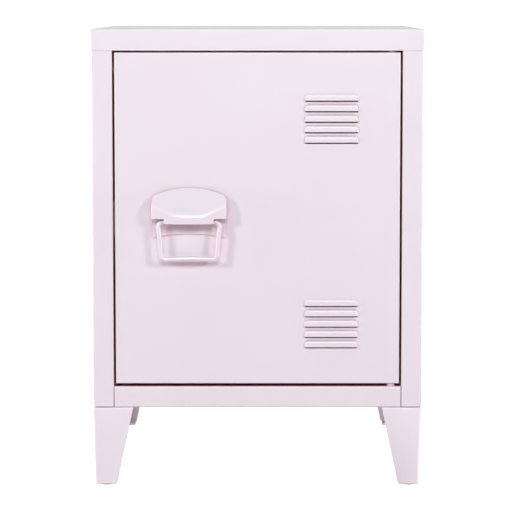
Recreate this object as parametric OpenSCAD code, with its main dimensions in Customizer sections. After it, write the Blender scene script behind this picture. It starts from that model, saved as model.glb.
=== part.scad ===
// One-door locker cabinet of folded sheet steel on four tapered legs.
// +Z up, front towards -Y, +X to the right when facing the door. The floor is z = 0.

/* [Overall] */
// Width over the top cap
cabinet_w = 400; // [330:1:520]
// Depth over the top cap
cabinet_d = 400; // [320:1:520]
// Height from the floor to the top of the cap
cabinet_h = 555; // [460:1:720]

/* [Sheet steel] */
// Thickness of the body and door sheet
sheet_t = 0.8; // [0.6:0.1:1.2]
// Outside radius of the folds
bend_r = 2; // [1.6:0.1:3]
// Gap left between two sheets that are joined face to face
sheet_gap = 0.1; // [0.05:0.05:0.3]

/* [Top cap and header] */
// Height of the cap's skirt
cap_h = 26; // [22:0.5:40]
// Thickness of the header rail
header_t = 1.2; // [1:0.1:2]
// Depth of the header rail from front to back
header_d = 20.4; // [20.4:0.1:24]
// Height of the header rail's upright flange
header_flange_h = 18; // [10:0.5:20]
// How far the door stop hangs below the header rail
stop_drop = 8; // [6:0.5:10]
// Distance from a hinge axis to the near end of the door stop
stop_clear = 12; // [10:0.5:30]

/* [Side panels] */
// Width of the front posts
post_w = 25; // [22:0.5:35]
// Depth of the front posts
post_d = 32; // [31:0.5:36]
// Length of the lip that closes the back of a post
post_lip = 16; // [8:0.5:18]
// Width of the flange at the back of a side panel
rear_flange = 15; // [12:0.5:25]
// Width of the flange at the top of a side panel
top_flange = 20; // [16:0.5:30]
// Width of the flange under a side panel, which a leg is fixed to
base_flange = 46; // [42:0.5:48]
// Height of a post's lower end above the leg
post_foot_gap = 0.8; // [0.4:0.1:2]

/* [Bottom panel] */
// Height of the front rail under the door
rail_h = 25.7; // [20:0.1:40]
// Depth of the rail's return flange
rail_flange = 24; // [18:0.5:30]
// Open seam at each end of the rail
rail_seam = 0.5; // [0.3:0.1:1]

/* [Legs] */
// Height of the legs under the body
leg_h = 96.7; // [70:0.1:140]
// Thickness of the leg sheet
leg_t = 1.5; // [1.2:0.1:2]
// Width of a leg at the top
leg_top_w = 48.4; // [46:0.1:56]
// Width of a leg at the foot
leg_foot_w = 26; // [20:0.5:36]
// How far the outer edge leans in at the foot
leg_lean = 2; // [0:0.5:6]
// Radius of the fold at the top of a leg
leg_fold_r = 3.2; // [2:0.1:5]
// Thickness of the pad under a foot
pad_t = 1.2; // [1:0.1:4]
// Diameter of the pad under a foot
pad_dia = 18; // [12:0.5:19]

/* [Door] */
// Gap between the door and a post
door_side_gap = 2.3; // [1.8:0.1:2.6]
// Gap over the door
door_top_gap = 2; // [1.8:0.1:4]
// Gap under the door
door_bottom_gap = 3.4; // [3:0.1:6]
// Depth of the door pan
door_d = 18; // [14:0.5:18]
// Width of the lip that goes round the back of the pan
door_lip = 14; // [10:0.5:18]
// Width of the stiffener's raised part
stiffener_w = 34; // [20:1:50]
// Width of each of the stiffener's flanges
stiffener_flange = 9; // [6:0.5:12]
// Depth of the stiffener
stiffener_d = 13; // [8:0.5:13]

/* [Pivots] */
// Diameter of a pivot pin
pin_dia = 6; // [4:0.5:7]
// Distance from the door's hinge edge to the pivot axis
pivot_inset = 10; // [9:0.5:14]
// Distance from the door's face to the pivot axis
pivot_setback = 7.5; // [7:0.5:9]
// Radial clearance of a pin in its bush
pin_clear = 0.05; // [0.02:0.01:0.1]
// Outside diameter of a bush's stem
bush_dia = 8; // [8:0.5:9]
// Outside diameter of a bush's flange
bush_flange_dia = 10; // [9.5:0.5:13]
// Gap between a bush's flange and the door
bush_gap = 0.4; // [0.3:0.1:0.6]
// Length of a bush's stem
bush_stem = 4; // [3:0.5:6]

/* [Louvres] */
// Number of louvres in a group
louvre_count = 5; // [2:1:7]
// Width of a louvre
louvre_w = 65; // [40:1:80]
// Height of a louvre
louvre_h = 8; // [6:0.5:9]
// How far a louvre stands off the door
louvre_rise = 3.6; // [2.5:0.1:5]
// Height of the slit that shows under a louvre
louvre_slit = 1.7; // [0.5:0.1:3]
// Distance between louvres
louvre_pitch = 12.6; // [11:0.1:18]
// Distance from the door's hinge edge to the middle of a louvre
louvre_inset = 82.8; // [62:0.1:90]
// Distance from the door's top edge to the first louvre
louvre_top = 49.7; // [30:0.1:80]
// Distance from the door's bottom edge to the last louvre
louvre_bottom = 45.1; // [30:0.1:80]

/* [Handle] */
// Width of the hood
hood_w = 90; // [80:1:100]
// How far the hood stands off the door
handle_reach = 26; // [24:0.5:32]
// Wall of the hood
hood_wall = 2; // [1.6:0.1:2.4]
// Distance from the door's free edge to the middle of the handle
handle_inset = 89.8; // [70:0.1:110]
// Height of the bail's axis above the door's bottom edge
handle_rise = 198.7; // [150:0.1:240]
// Thickness of the plate behind the hood
plate_t = 2; // [1.5:0.1:3]
// Distance from the door's face to the bail's axis
bail_standoff = 15; // [14:0.5:16]
// Diameter of the bail's rod
bail_dia = 5.8; // [4:0.1:6]
// Radial clearance of the rod in its clips
bail_clear = 0.06; // [0.02:0.01:0.1]
// Width of the bail over its axis
bail_w = 80.5; // [76:0.5:82]
// Drop of the bail from its axis to the outside of its grip
bail_drop = 48; // [38:0.5:60]

/* [Shelf] */
// Height of the shelf's top above the floor of the locker
shelf_rise = 178; // [120:1:260]
// Height of the shelf's folded edge
shelf_edge = 15; // [10:0.5:25]
// Gap round the shelf
shelf_gap = 1.2; // [0.8:0.1:3]

/* [Magnetic catch] */
// Height of the catch's middle above the bail's axis
catch_rise = 0; // [-40:1:80]
// Height of the catch housing
catch_h = 44; // [34:1:60]
// Gap between the magnet and the strike plate with the door shut
catch_gap = 0.4; // [0.3:0.1:1]

/* [Screws and anchor holes] */
// Diameter of the machine screws
screw_dia = 4; // [3:0.5:4.5]
// Radial clearance of a screw in a drilled hole
screw_clear = 0.25; // [0.15:0.05:0.5]
// Radial clearance of a screw in its nut
thread_clear = 0.05; // [0.03:0.01:0.1]
// Height of a nut
nut_h = 3; // [2.5:0.1:4]
// Diameter of the two wall anchor holes
anchor_dia = 6; // [4:0.5:8]
// Distance between the wall anchor holes
anchor_spacing = 300; // [200:1:320]
// Distance from the top of the cap down to the anchor holes
anchor_drop = 60; // [40:1:120]

/* [Hidden] */
$fn = 48;
eps = 0.01;
bend_steps = 6;
arc_steps = 8;
paint = "thistle";
zinc = "silver";

// Heights
cap_z0 = cabinet_h - cap_h;
deck_z = leg_h + rail_h;
door_z0 = deck_z + door_bottom_gap;
door_z1 = cap_z0 - door_top_gap;
side_top = cabinet_h - sheet_t - nut_h;
return_z = leg_h + sheet_t + sheet_gap;
shelf_z = deck_z + shelf_rise;

// Widths and depths
body_w = cabinet_w - 2 * (sheet_t + sheet_gap);
body_x = body_w / 2;
open_x = body_x - post_w;
door_x = open_x - door_side_gap;
front_y = -(cabinet_d - handle_reach + sheet_t + sheet_gap) / 2;
back_y = front_y + cabinet_d;
body_front = front_y + sheet_t + sheet_gap;
body_back = back_y - sheet_t - sheet_gap;
rear_sheet_y = body_back - 2 * sheet_t - sheet_gap;
behind_post = body_front + post_d + 1;
door_back = body_front + door_d;

// Pivots and handle
pivot_x = door_x - pivot_inset;
pivot_y = body_front + pivot_setback;
pin_r = pin_dia / 2;
bail_x = handle_inset - door_x;
bail_y = body_front - bail_standoff;
bail_z = door_z0 + handle_rise;
bail_r = bail_dia / 2;
screw_r = screw_dia / 2;
hole_r = screw_r + screw_clear;

// The hood's outline, measured from the bail's axis
hood_x = hood_w / 2;
hood_top = 40;
dome_drop = 10.2;
shoulder_r = 7;
dome_steps = 12;
hood_side_bottom = 3.6;
lip_bottom = -2.2;
lip_x = hood_x - 15;
ridge_z = 7;
flat_x = 18;
side_setback = 8.5;
brow_d = 2.6;

// The handle plate's outline, measured from the bail's axis
plate_x = hood_x - 0.7;
plate_bottom = -20.8;
plate_arch = 4.8;
plate_gap = 0.15;
plate_top = 24;

// The bail: half length of its journal, narrowing towards the grip and rise of the grip's middle
journal_x = hood_x - 17;
bail_taper = 4.2;
grip_bow = 0.9;

// The handle's screws, measured from the bail's axis
handle_hole_x = 31;
handle_hole_z = 21;

// Magnetic catch
catch_w = 13;
strike_t = 1;
catch_z = bail_z + catch_rise;
catch_front = door_back + strike_t + catch_gap;
catch_back = body_front + post_d - 0.5;
catch_screw_z = catch_h / 2 - 6;
catch_screw_r = 1.5;
magnet_h = catch_h - 24;

// Places of the screws in a leg, measured from the body's corner
leg_holes = [[36, 10], [36, 38], [12, 41]];

// ---- Outlines ----

function unit(v) = v / norm(v);
function left_of(v) = [-v[1], v[0]];
function turned(v, a) = [v[0] * cos(a) - v[1] * sin(a), v[0] * sin(a) + v[1] * cos(a)];
function turn_angle(u, v) = atan2(u[0] * v[1] - u[1] * v[0], u[0] * v[0] + u[1] * v[1]);

// Centre of an arc of radius r that rounds the corner q between p and s
function arc_centre(p, q, s, r) =
    let (d = unit(q - p), a = turn_angle(d, unit(s - q)))
    q - d * r * tan(abs(a) / 2) + sign(a) * r * left_of(d);

// Points of that arc, moved outwards from the path by h
function arc_points(p, q, s, r, h, steps) =
    let (d = unit(q - p), a = turn_angle(d, unit(s - q)), g = sign(a), c = arc_centre(p, q, s, r))
    [for (k = [0:steps]) c - g * (r - g * h) * turned(left_of(d), a * k / steps)];

// One side of a folded strip whose middle follows the path
function strip_side(path, h, r) =
    let (n = len(path) - 1)
    concat(
        [path[0] + h * left_of(unit(path[1] - path[0]))],
        [for (i = [1:n - 1]) each arc_points(path[i - 1], path[i], path[i + 1], r, h, bend_steps)],
        [path[n] + h * left_of(unit(path[n] - path[n - 1]))]
    );

// Section of a folded sheet of thickness t, with an outside bend radius r
function folded(path, t, r) =
    let (a = strip_side(path, t / 2, r - t / 2), b = strip_side(path, -t / 2, r - t / 2))
    concat(a, [for (i = [len(b) - 1:-1:0]) b[i]]);

// A closed outline with each corner rounded to its own radius
function rounded(pts, radii) =
    let (n = len(pts))
    [for (i = [0:n - 1])
        let (p = pts[(i + n - 1) % n], q = pts[i], s = pts[(i + 1) % n])
        each (radii[i] == 0 ? [q] : arc_points(p, q, s, radii[i], 0, arc_steps))];

function box_outline(x0, x1, y0, y1) = [[x0, y0], [x1, y0], [x1, y1], [x0, y1]];

// ---- Shaping helpers ----

module block(low, high) {
    translate(low) cube(high - low);
}

module along_x(x0, x1) {
    translate([x0, 0, 0]) rotate([90, 0, 90]) linear_extrude(x1 - x0) children();
}

module along_y(y0, y1) {
    translate([0, y1, 0]) rotate([90, 0, 0]) linear_extrude(y1 - y0) children();
}

module along_z(z0, z1) {
    translate([0, 0, z0]) linear_extrude(z1 - z0) children();
}

// A round bar along each axis, from its start point
module rod_x(p, l, r) {
    translate(p) rotate([0, 90, 0]) cylinder(h = l, r = r);
}

module rod_y(p, l, r) {
    translate(p) rotate([-90, 0, 0]) cylinder(h = l, r = r);
}

module rod_z(p, l, r) {
    translate(p) cylinder(h = l, r = r);
}

module both_sides() {
    children();
    mirror([1, 0, 0]) children();
}

// Moves a shape drawn at the front left corner of the body to all four corners
module at_corners() {
    both_sides() {
        children();
        translate([0, body_front + body_back, 0]) mirror([0, 1, 0]) children();
    }
}

// ---- Top cap and header ----

module cap_solid(inset, z0, r) {
    x = cabinet_w / 2 - inset;
    z = cabinet_h - inset;
    intersection() {
        along_y(front_y + inset, back_y - inset)
            polygon(rounded(box_outline(-x, x, z0, z), [0, 0, r, r]));
        along_x(-x, x)
            polygon(rounded(box_outline(front_y + inset, back_y - inset, z0, z), [0, 0, r, r]));
    }
}

module top_cap() {
    color(paint) difference() {
        cap_solid(0, cap_z0, bend_r);
        cap_solid(sheet_t, cap_z0 - 1, bend_r - sheet_t);
    }
}

module header_rail() {
    y0 = front_y + sheet_t + header_t / 2;
    y1 = y0 + header_d - header_t;
    z = cap_z0 + header_t / 2;
    top = cap_z0 + header_flange_h;
    stop_x = pivot_x - stop_clear;
    color(paint) difference() {
        union() {
            along_x(-open_x + rail_seam, open_x - rail_seam)
                polygon(folded([[y0, top], [y0, z], [y1, z], [y1, top]], header_t, bend_r));
            block([-stop_x, y1 - header_t / 2, cap_z0 - stop_drop], [stop_x, y1 + header_t / 2, top - eps]);
        }
        both_sides() rod_z([pivot_x, pivot_y, cap_z0 - 1], header_t + 2, bush_dia / 2 + pin_clear);
    }
}

// ---- Body panels ----

// The left side panel; the right one is its mirror image
module side_panel() {
    x0 = -body_x + sheet_t / 2;
    x1 = -open_x - sheet_t / 2;
    y0 = body_front + sheet_t / 2;
    y1 = body_front + post_d - sheet_t / 2;
    y2 = rear_sheet_y + sheet_t / 2;
    flange_end = rear_sheet_y - bend_r;
    z0 = leg_h + sheet_t / 2;
    z1 = side_top - sheet_t / 2;
    post = [[x0, behind_post], [x0, y0], [x1, y0], [x1, y1], [x1 - post_lip, y1]];
    rear_edge = [[x0, flange_end], [x0, y2], [x0 + rear_flange, y2]];
    wall = [[x0 + base_flange, z0], [x0, z0], [x0, z1], [x0 + top_flange, z1]];
    difference() {
        union() {
            along_z(leg_h + post_foot_gap, side_top) polygon(folded(post, sheet_t, bend_r));
            along_z(leg_h + post_foot_gap, side_top) polygon(folded(rear_edge, sheet_t, bend_r));
            along_y(behind_post, flange_end) polygon(folded(wall, sheet_t, bend_r));
        }
        leg_bores(leg_h - 1, 3);
        cap_bores(side_top - 3, 4);
        back_bores(rear_sheet_y - 1, 3);
        catch_bores(-open_x - 3, 4);
    }
}

module left_side_panel() {
    color(paint) side_panel();
}

module right_side_panel() {
    color(paint) mirror([1, 0, 0]) side_panel();
}

module back_panel() {
    x = body_x - sheet_gap;
    color(paint) difference() {
        block([-x, body_back - sheet_t, leg_h + post_foot_gap], [x, body_back, cabinet_h - bend_r]);
        both_sides() back_bores(body_back - sheet_t - 1, 3);
        both_sides() rod_y([anchor_spacing / 2, body_back - sheet_t - 1, cabinet_h - anchor_drop], 3, anchor_dia / 2);
    }
}

module bottom_panel() {
    y0 = body_front + sheet_t / 2;
    y1 = rear_sheet_y - sheet_gap - sheet_t / 2;
    z0 = leg_h + sheet_t / 2;
    z1 = deck_z - sheet_t / 2;
    zr = return_z + sheet_t / 2;
    x0 = -open_x + rail_seam;
    x1 = -body_x + sheet_t + sheet_gap + sheet_t / 2;
    front_to_back = [
        [y0 + rail_flange, z0], [y0, z0], [y0, z1], [y1, z1], [y1, zr], [y1 - rail_flange, zr]
    ];
    color(paint) difference() {
        union() {
            along_x(x0, -x0) polygon(folded(front_to_back, sheet_t, bend_r));
            both_sides() along_y(behind_post, y1 - bend_r)
                polygon(folded([[x0 + 5, z1], [x1, z1], [x1, zr], [-body_x + base_flange, zr]], sheet_t, bend_r));
        }
        both_sides() leg_bores(leg_h - 1, 4);
        both_sides() rod_z([pivot_x, pivot_y, deck_z - 2], 3, bush_dia / 2 + pin_clear);
    }
}

// ---- Shelf ----

module shelf() {
    x = body_x - sheet_t - shelf_gap;
    y0 = behind_post + shelf_gap;
    y1 = rear_sheet_y - shelf_gap;
    z0 = shelf_z - shelf_edge;
    color(paint) difference() {
        intersection() {
            along_y(y0, y1) polygon(rounded(box_outline(-x, x, z0, shelf_z), [0, 0, bend_r, bend_r]));
            along_x(-x, x) polygon(rounded(box_outline(y0, y1, z0, shelf_z), [0, 0, bend_r, bend_r]));
        }
        block([-x + sheet_t, y0 + sheet_t, z0 - 1], [x - sheet_t, y1 - sheet_t, shelf_z - sheet_t]);
    }
}

// Four angles on the side panels, under the shelf's folded edge
module shelf_brackets() {
    x0 = -body_x + sheet_t;
    z1 = shelf_z - shelf_edge;
    t = 1.2;
    reach = 12;
    drop = 14;
    length = 24;
    color(paint) both_sides() for (y = [behind_post + 30, rear_sheet_y - 30 - length])
        along_y(y, y + length)
            polygon(folded([[x0 + t / 2, z1 - drop], [x0 + t / 2, z1 - t / 2], [x0 + reach, z1 - t / 2]], t, bend_r));
}

// ---- Legs ----

// Side view of a leg: lean is the foot's lean, t is 0 for the outside and the sheet for the inside
module leg_view(corner, t) {
    c = corner + t;
    z0 = pad_t + t;
    z1 = leg_h - t;
    far = t == 0 ? 0 : 60;
    polygon(rounded(
        [
            [c + leg_lean, z0], [corner + leg_lean + leg_foot_w + far, z0],
            [corner + leg_top_w + far, z1], [c, z1]
        ],
        [0, t == 0 ? 2 : 0, t == 0 ? 1 : 0, leg_fold_r - t]
    ));
}

module leg_solid(t) {
    intersection() {
        along_y(body_front - 1, body_front + 200) leg_view(-body_x, t);
        along_x(-body_x - 1, -body_x + 200) leg_view(body_front, t);
    }
}

module leg() {
    c = leg_lean + leg_foot_w / 2;
    difference() {
        leg_solid(0);
        leg_solid(leg_t);
        for (h = leg_holes)
            rod_z([-body_x + h[0], body_front + h[1], leg_h - leg_t - 1], leg_t + 2, hole_r);
        rod_z([-body_x + c, body_front + c, pad_t - 1], leg_t + 2, screw_r + thread_clear);
    }
}

module rear() {
    translate([0, body_front + body_back, 0]) mirror([0, 1, 0]) children();
}

module front_left_leg() {
    color(paint) leg();
}

module front_right_leg() {
    color(paint) mirror([1, 0, 0]) leg();
}

module rear_left_leg() {
    color(paint) rear() leg();
}

module rear_right_leg() {
    color(paint) rear() mirror([1, 0, 0]) leg();
}

// A pad under each foot, held by a stem that snaps into the foot
module foot_pads() {
    c = leg_lean + leg_foot_w / 2;
    color("gray") at_corners() translate([-body_x + c, body_front + c, 0]) {
        cylinder(h = pad_t, r = pad_dia / 2);
        cylinder(h = pad_t + leg_t + 1.5, r = screw_r);
        translate([0, 0, pad_t + leg_t]) cylinder(h = 1.5, r = screw_r + 1.2);
    }
}

// ---- Fasteners ----

// The nut of a leg screw rests on whichever flange is on top at that hole
function nut_seat(h, at_rear) = !at_rear && h[1] < post_d ? leg_h + sheet_t : return_z + sheet_t;

module leg_bores(z, l) {
    at_left_corners() for (h = leg_holes) rod_z([-body_x + h[0], body_front + h[1], z], l, hole_r);
}

module at_left_corners() {
    children();
    rear() children();
}

module leg_screws() {
    color(zinc) both_sides() for (at_rear = [false, true], h = leg_holes) {
        top = nut_seat(h, at_rear) + nut_h + 1;
        y = at_rear ? body_back - h[1] : body_front + h[1];
        rod_z([-body_x + h[0], y, leg_h - leg_t - 2.4], 2.4, screw_r * 1.9);
        rod_z([-body_x + h[0], y, leg_h - leg_t - 1], top - leg_h + leg_t + 1, screw_r);
    }
}

module leg_nuts() {
    color(zinc) both_sides() for (at_rear = [false, true], h = leg_holes) {
        y = at_rear ? body_back - h[1] : body_front + h[1];
        nut([-body_x + h[0], y, nut_seat(h, at_rear)]);
    }
}

// A square weld nut standing on p
module nut(p) {
    w = screw_dia * 2;
    difference() {
        block([p[0] - w / 2, p[1] - w / 2, p[2]], [p[0] + w / 2, p[1] + w / 2, p[2] + nut_h]);
        rod_z([p[0], p[1], p[2] - 1], nut_h + 2, screw_r + thread_clear);
    }
}

function cap_screw_places() = [
    for (y = [behind_post + 30, rear_sheet_y - 30]) [-body_x + sheet_t + top_flange / 2 + 1, y]
];

module cap_bores(z, l) {
    for (p = cap_screw_places()) rod_z([p[0], p[1], z], l, hole_r);
}

module cap_screws() {
    color(zinc) both_sides() for (p = cap_screw_places()) {
        rod_z([p[0], p[1], side_top - sheet_t - 2.4], 2.4, screw_r * 1.9);
        rod_z([p[0], p[1], side_top - sheet_t - 1], sheet_t + 1 + nut_h - 0.2, screw_r);
    }
}

module cap_nuts() {
    color(zinc) both_sides() for (p = cap_screw_places()) nut([p[0], p[1], side_top]);
}

// A screw that would meet the shelf's folded edge is put just under it
function clear_of_shelf(z) =
    let (middle = shelf_z - shelf_edge / 2, room = shelf_edge / 2 + screw_dia)
    abs(z - middle) < room ? middle - room : z;

function back_screw_heights() = [
    for (k = [0:3]) clear_of_shelf(leg_h + 30 + k * (cap_z0 - leg_h - 60) / 3)
];

module back_bores(y, l) {
    for (z = back_screw_heights()) rod_y([-body_x + rear_flange / 2 + 1, y, z], l, hole_r);
}

module back_screws() {
    color(zinc) both_sides() for (z = back_screw_heights()) {
        x = -body_x + rear_flange / 2 + 1;
        rod_y([x, body_back - 7, z], 7.5, screw_r);
        rod_y([x, body_back, z], sheet_t + sheet_gap, screw_r * 1.8);
    }
}

// ---- Pivots ----

// A flanged bush: stem upwards from z, flange of thickness f below it
module bush(f) {
    difference() {
        union() {
            rod_z([0, 0, -f], f, bush_flange_dia / 2);
            rod_z([0, 0, -f], f + bush_stem, bush_dia / 2);
        }
        rod_z([0, 0, -f - 1], f + bush_stem + 2, pin_r + pin_clear);
    }
}

module upper_pivot_bush() {
    color("white") translate([pivot_x, pivot_y, cap_z0]) bush(door_top_gap - bush_gap);
}

module lower_pivot_bush() {
    color("white") translate([pivot_x, pivot_y, deck_z]) mirror([0, 0, 1]) bush(door_bottom_gap - bush_gap);
}

// A pin pushed out through the edge of the door, with its head inside the pan
module pivot_pin(gap) {
    rod_z([0, 0, -sheet_t - 2], 2, pin_r + 2);
    rod_z([0, 0, -sheet_t - 2], sheet_t + 2 + gap + bush_stem + 1, pin_r);
}

module upper_pivot_pin() {
    color(zinc) translate([pivot_x, pivot_y, door_z1]) pivot_pin(door_top_gap);
}

module lower_pivot_pin() {
    color(zinc) translate([pivot_x, pivot_y, door_z0]) mirror([0, 0, 1]) pivot_pin(door_bottom_gap);
}

// ---- Magnetic catch ----

module catch_bores(x, l) {
    for (s = [-1, 1])
        rod_x([x, (catch_front + catch_back) / 2, catch_z + s * catch_screw_z], l, catch_screw_r + screw_clear);
}

module catch_housing() {
    color("white") difference() {
        block(
            [-open_x, catch_front, catch_z - catch_h / 2],
            [-open_x + catch_w, catch_back, catch_z + catch_h / 2]
        );
        block(
            [-open_x + 3 - 0.1, catch_front - 1, catch_z - magnet_h / 2 - 0.1],
            [-open_x + catch_w - 2 + 0.1, catch_back - 2, catch_z + magnet_h / 2 + 0.1]
        );
        catch_bores(-open_x - 1, catch_w + 2);
    }
}

module catch_magnet() {
    color("dimgray") block(
        [-open_x + 3, catch_front, catch_z - magnet_h / 2],
        [-open_x + catch_w - 2, catch_back - 2, catch_z + magnet_h / 2]
    );
}

module catch_screws() {
    color(zinc) for (s = [-1, 1]) {
        p = [-open_x, (catch_front + catch_back) / 2, catch_z + s * catch_screw_z];
        rod_x(p + [catch_w, 0, 0], 1.8, 3);
        rod_x(p - [4, 0, 0], catch_w + 4.5, catch_screw_r);
    }
}

// ---- Door ----

module door_block(inset, y1, r) {
    x = door_x - inset;
    y0 = body_front + inset;
    intersection() {
        along_z(door_z0 + inset, door_z1 - inset) polygon(rounded(box_outline(-x, x, y0, y1), [r, r, 0, 0]));
        along_x(-x, x)
            polygon(rounded(box_outline(y0, y1, door_z0 + inset, door_z1 - inset), [r, 0, 0, r]));
    }
}

// A louvre about its slit's middle: t is 0 for the outside and the sheet for the hollow inside
module louvre(t) {
    w = louvre_w / 2 - t;
    h = louvre_h - t;
    r = louvre_h * 0.6;
    y_in = body_front + (t == 0 ? sheet_t / 2 : sheet_t + 1);
    y_out = body_front - louvre_rise + t;
    z0 = t == 0 ? 0 : -eps;
    intersection() {
        along_y(y_out - 1, y_in) polygon(rounded(box_outline(-w, w, z0, h), [0, 0, r, r]));
        along_x(-w, w) polygon(rounded(
            [[y_in, z0], [y_in, h], [body_front + t, h], [y_out, louvre_h * 0.3], [y_out, z0]],
            [0, 0, 0, 2, 0]
        ));
    }
}

// The cut through the sheet, which starts below the louvre's lip
module louvre_opening() {
    w = louvre_w / 2 - sheet_t;
    block([-w, body_front - 0.5, -louvre_slit], [w, body_front + sheet_t + 1, 0.5]);
}

module at_louvres() {
    x = door_x - louvre_inset;
    span = (louvre_count - 1) * louvre_pitch;
    for (z = [door_z0 + louvre_bottom, door_z1 - louvre_top - louvre_h - span], k = [0:louvre_count - 1])
        translate([x, 0, z + k * louvre_pitch]) children();
}

module door_shell() {
    x = door_x - door_lip;
    color(paint) difference() {
        union() {
            difference() {
                door_block(0, door_back, bend_r);
                door_block(sheet_t, door_back - sheet_t, bend_r - sheet_t);
                block([-x, door_back - 2, door_z0 + door_lip], [x, door_back + 1, door_z1 - door_lip]);
            }
            at_louvres() louvre(0);
        }
        at_louvres() louvre(sheet_t);
        at_louvres() louvre_opening();
        rod_z([pivot_x, pivot_y, door_z0 - 1], 3, pin_r + pin_clear);
        rod_z([pivot_x, pivot_y, door_z1 - 2], 3, pin_r + pin_clear);
        handle_bores(body_front - 1, 3);
    }
}

module door_stiffener() {
    y0 = body_front + sheet_t + sheet_t / 2;
    y1 = body_front + sheet_t + stiffener_d - sheet_t / 2;
    x = stiffener_w / 2;
    plan = [
        [-x - stiffener_flange, y0], [-x, y0], [-x + 3, y1], [x - 3, y1], [x, y0], [x + stiffener_flange, y0]
    ];
    color(paint) along_z(door_z0 + sheet_t + 2, door_z1 - sheet_t - 2)
        polygon(folded(plan, sheet_t, bend_r - sheet_t / 2));
}

module strike_plate() {
    color(zinc) block(
        [-door_x + 1, door_back, catch_z - magnet_h / 2 - 3],
        [-door_x + door_lip - 1, door_back + strike_t, catch_z + magnet_h / 2 + 3]
    );
}

// Rubber discs that meet the door stop
module door_bumpers() {
    gap = front_y + sheet_t + header_d - header_t - door_back;
    color("dimgray") for (x = [-pivot_x + stop_clear + 12, pivot_x - stop_clear - 12])
        rod_y([x, door_back, door_z1 - 4], gap - 0.4, 3.5);
}

// ---- Handle ----

module handle_bores(y, l) {
    for (s = [-1, 1]) rod_y([bail_x + s * handle_hole_x, y, bail_z + handle_hole_z], l, hole_r);
}

module handle_plate() {
    inner_x = hood_x - hood_wall - plate_gap;
    step_z = hood_side_bottom - plate_gap;
    arch_r = (plate_x * plate_x + plate_arch * plate_arch) / (2 * plate_arch);
    half = asin(plate_x / arch_r);
    arch = [for (k = [0:dome_steps])
        let (a = half * (2 * k / dome_steps - 1))
        [arch_r * sin(a), plate_bottom + plate_arch - arch_r * (1 - cos(a))]
    ];
    color(paint) difference() {
        translate([bail_x, 0, bail_z]) along_y(body_front - plate_t, body_front) polygon(concat(
            arch,
            [[plate_x, step_z], [inner_x, step_z], [inner_x, plate_top], [-inner_x, plate_top]],
            [[-inner_x, step_z], [-plate_x, step_z]]
        ));
        handle_bores(body_front - plate_t - 1, plate_t + 2);
    }
}

// The hood's dome from its right shoulder to its left one, moved inwards by t
function dome(t) =
    let (
        r = (hood_x * hood_x + dome_drop * dome_drop) / (2 * dome_drop),
        half = asin((hood_x - t) / (r - t))
    )
    [for (k = [0:dome_steps])
        let (a = half * (1 - 2 * k / dome_steps))
        [(r - t) * sin(a), hood_top - r + (r - t) * cos(a)]
    ];

// Front outline of the hood; its hollow runs out below
module hood_front(t) {
    x = hood_x - t;
    arch = dome(t);
    corner_r = max(shoulder_r - t, 1);
    arch_radii = [for (k = [0:dome_steps]) k == 0 || k == dome_steps ? corner_r : 0];
    sides = t > 0
        ? [[-x, -60], [x, -60]]
        : [
            [-x, hood_side_bottom], [-lip_x, hood_side_bottom], [-lip_x, lip_bottom],
            [lip_x, lip_bottom], [lip_x, hood_side_bottom], [x, hood_side_bottom]
        ];
    polygon(rounded(concat(sides, arch), concat([for (p = sides) 0], arch_radii)));
}

// Side outline of the hood: brow at the top, sloping face, ridge and upright lip
module hood_side(t) {
    back = body_front + (t > 0 ? 1 : 0);
    brow = body_front - brow_d + min(t, brow_d - 0.8);
    face = body_front - handle_reach + t;
    polygon(rounded(
        [
            [back, -60], [back, hood_top + 2], [brow, hood_top + 2], [brow, hood_top - t],
            [face, ridge_z - t * 0.4], [face, -60]
        ],
        [0, 0, 0, 0, t > 0 ? 2 : 4, 0]
    ));
}

// Plan of the hood: flat in the middle, the corners set back
module hood_plan(t) {
    x = hood_x - t;
    face = body_front - handle_reach + t;
    corner = face + side_setback;
    polygon(rounded(
        [
            [-x, body_front + 2], [-x, corner], [-flat_x, face],
            [flat_x, face], [x, corner], [x, body_front + 2]
        ],
        [0, 3, 12, 12, 3, 0]
    ));
}

module hood_solid(t) {
    intersection() {
        along_y(body_front - 60, body_front + 1) hood_front(t);
        along_x(-60, 60) hood_side(t);
        along_z(-61, 60) hood_plan(t);
    }
}

module handle_hood() {
    color(paint) translate([bail_x, 0, bail_z]) difference() {
        union() {
            difference() {
                hood_solid(0);
                hood_solid(hood_wall);
            }
            intersection() {
                hood_solid(0);
                for (s = [-1, 1])
                    rod_y([s * handle_hole_x, body_front - 40, handle_hole_z], 40 - plate_t, screw_r + 2);
            }
        }
        for (s = [-1, 1])
            rod_y([s * handle_hole_x, body_front - 10, handle_hole_z], 12, screw_r + thread_clear);
    }
}

module handle_screws() {
    color(zinc) for (s = [-1, 1]) {
        p = [bail_x + s * handle_hole_x, body_front, bail_z + handle_hole_z];
        rod_y(p - [0, 9, 0], 9 + sheet_t + 1, screw_r);
        rod_y(p + [0, sheet_t, 0], 2.4, screw_r * 1.9);
    }
}

// Two blocks on the handle plate that the bail turns in
module bail_clips() {
    color("white") for (s = [-1, 1]) difference() {
        translate([bail_x + s * 16, 0, bail_z]) along_x(-4, 4) polygon(rounded(
            box_outline(bail_y - bail_r - 1.8, body_front - plate_t, -bail_r - 0.5, bail_r + 2.4), [2, 0, 0, 4]
        ));
        rod_x([bail_x + s * 16 - 5, bail_y, bail_z], 10, bail_r + bail_clear);
    }
}

// Points of an open path whose inner corners are rounded to their own radii
function rounded_path(pts, radii) =
    let (n = len(pts) - 1)
    concat([pts[0]], [for (i = [1:n - 1]) each arc_points(pts[i - 1], pts[i], pts[i + 1], radii[i - 1], 0, 5)], [pts[n]]);

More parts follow.
